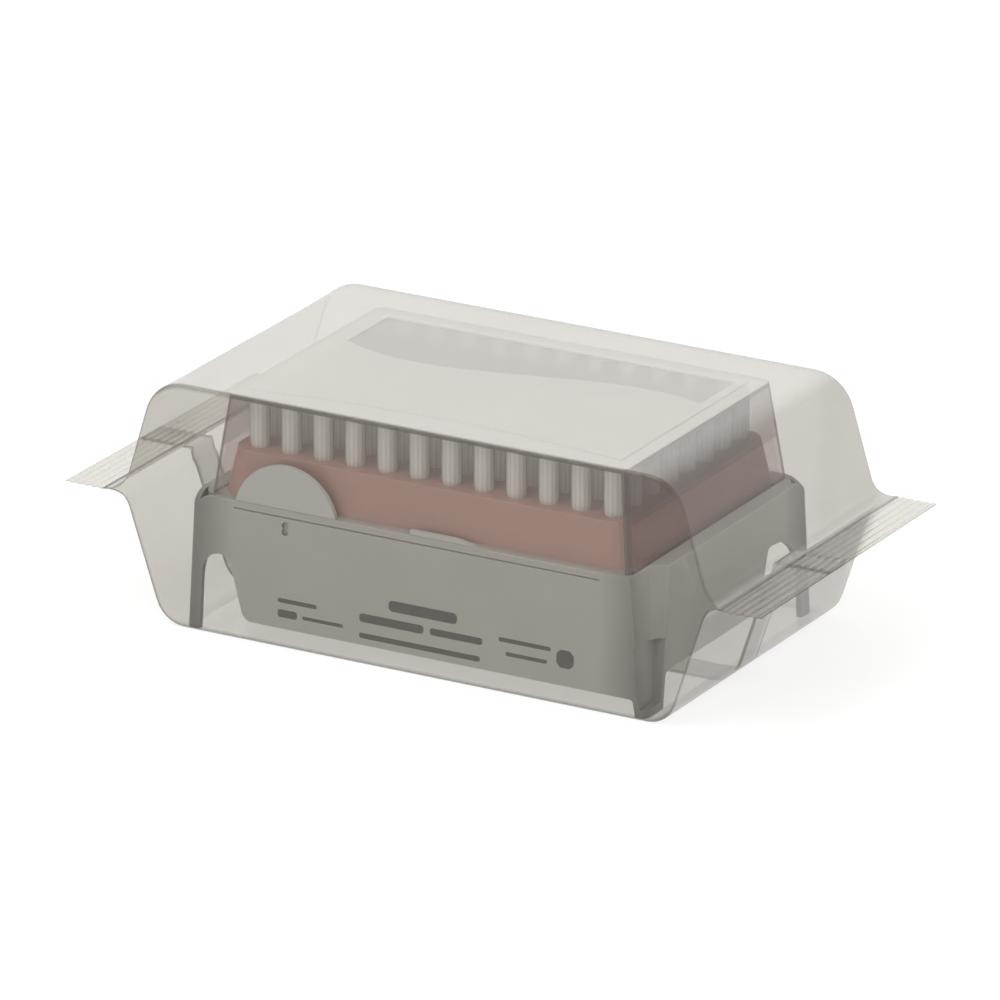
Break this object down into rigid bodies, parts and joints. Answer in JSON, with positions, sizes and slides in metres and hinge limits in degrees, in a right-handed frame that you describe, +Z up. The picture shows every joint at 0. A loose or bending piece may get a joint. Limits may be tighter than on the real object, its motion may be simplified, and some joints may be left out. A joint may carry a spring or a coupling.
{
  "type": "box of pipette tips",
  "caption": "Sealed laboratory box of filter pipette tips: legged grey base, red tray of tips in a grid, clear lid and a see-through film sleeve.",
  "frame": {"origin": "middle of the underside of the film, on the surface that the box stands on", "axes": "+X along the box's length, towards the end on the right of the front; -Y out of the front, which has the round tab; +Z up"},
  "size_m": [0.194, 0.0908, 0.0635],
  "materials": {
    "film": "clear film",
    "base": "moulded",
    "lid": "clear moulded",
    "tray": "moulded",
    "tips": "natural polypropylene",
    "filters": "porous"
  },
  "bodies": {
    "root": {"film_wrap": "film", "base": "base", "lid": "lid", "tip_tray": "tray", "tips_row_1": "tips", "tips_row_2": "tips", "tips_row_3": "tips", "tips_row_4": "tips", "tips_row_5": "tips", "tips_row_6": "tips", "tips_row_7": "tips", "tips_row_8": "tips", "filters_row_1": "filters", "filters_row_2": "filters", "filters_row_3": "filters", "filters_row_4": "filters", "filters_row_5": "filters", "filters_row_6": "filters", "filters_row_7": "filters", "filters_row_8": "filters"}
  },
  "joints": []
}
